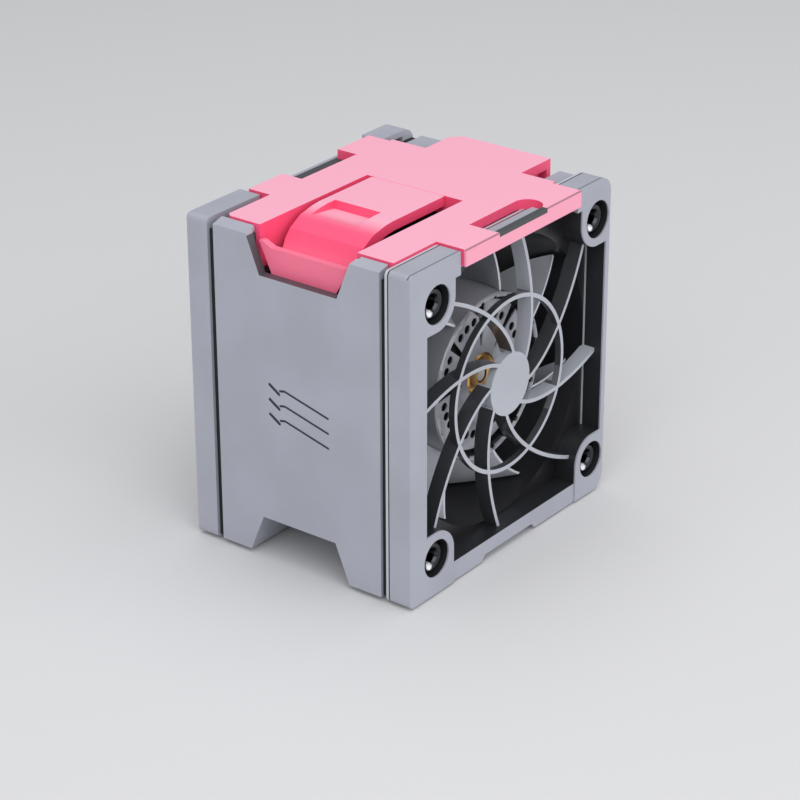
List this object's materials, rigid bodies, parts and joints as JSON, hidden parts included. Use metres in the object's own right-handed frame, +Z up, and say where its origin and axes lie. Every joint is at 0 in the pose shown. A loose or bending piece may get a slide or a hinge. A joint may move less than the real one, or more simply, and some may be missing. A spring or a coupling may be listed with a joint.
{
  "type": "server fan module",
  "caption": "Hot-swap axial fan module: square carrier with spiral inlet guard, swept-blade rotor with motor and bearings, coloured top cover with a sprung side latch.",
  "frame": {"origin": "on the fan's axis, in the plane of the front frame's face, at the centre of the four corner holes", "axes": "+X right seen from the front, +Y to the rear with the air, +Z up"},
  "size_m": [0.0622, 0.0513, 0.0653],
  "materials": {
    "front_frame": "moulded, lightly textured",
    "front_guard": "moulded",
    "fan_frame": "moulded",
    "motor_mount": "moulded",
    "front_isolator": "soft",
    "rear_isolator": "soft",
    "casing": "moulded, lightly textured",
    "rear_frame": "moulded, lightly textured",
    "top_cover": "moulded, satin",
    "front_eyelets": "plated",
    "rear_eyelets": "plated",
    "front_bearing_outer": "ground",
    "rear_bearing_outer": "ground",
    "bearing_tube": "turned",
    "stator_core": "stacked sheet",
    "insulator_front": "moulded",
    "insulator_rear": "moulded",
    "stator_coils": "enamelled copper winding",
    "driver_board": "glass-fibre board",
    "board_components": "moulded chips",
    "connector_housing": "moulded",
    "connector_pins": "plated",
    "impeller": "moulded",
    "rotor_bush": "turned",
    "rotor_yoke": "drawn",
    "ring_magnet": "bonded ferrite",
    "shaft": "ground",
    "retaining_clip": "spring steel",
    "preload_washer": "spring steel",
    "front_bearing_inner": "ground",
    "rear_bearing_inner": "ground",
    "front_bearing_balls": "polished",
    "rear_bearing_balls": "polished",
    "latch": "moulded, satin"
  },
  "bodies": {
    "housing": {"front_frame": "front_frame", "front_guard": "front_guard", "fan_frame": "fan_frame", "motor_mount": "motor_mount", "front_isolator": "front_isolator", "rear_isolator": "rear_isolator", "casing": "casing", "rear_frame": "rear_frame", "top_cover": "top_cover", "front_eyelets": "front_eyelets", "rear_eyelets": "rear_eyelets", "front_bearing_outer": "front_bearing_outer", "rear_bearing_outer": "rear_bearing_outer", "bearing_tube": "bearing_tube", "stator_core": "stator_core", "insulator_front": "insulator_front", "insulator_rear": "insulator_rear", "stator_coils": "stator_coils", "driver_board": "driver_board", "board_components": "board_components", "connector_housing": "connector_housing", "connector_pins": "connector_pins"},
    "rotor": {"impeller": "impeller", "rotor_bush": "rotor_bush", "rotor_yoke": "rotor_yoke", "ring_magnet": "ring_magnet", "shaft": "shaft", "retaining_clip": "retaining_clip", "preload_washer": "preload_washer", "front_bearing_inner": "front_bearing_inner", "rear_bearing_inner": "rear_bearing_inner", "front_bearing_balls": "front_bearing_balls", "rear_bearing_balls": "rear_bearing_balls"},
    "latch_body": {"latch": "latch"}
  },
  "joints": [
    {"name": "rotor_spin", "type": "hinge", "parent": "housing", "child": "rotor", "pos_m": [0, 0.02, 0], "axis": [0, -1, 0], "continuous": true},
    {"name": "latch_flex", "type": "hinge", "parent": "housing", "child": "latch_body", "pos_m": [0.00045, 0.02585, 0.0321], "axis": [0, -1, 0], "range_deg": [0, 6], "stiffness_Nm_per_rad": 0.3}
  ]
}
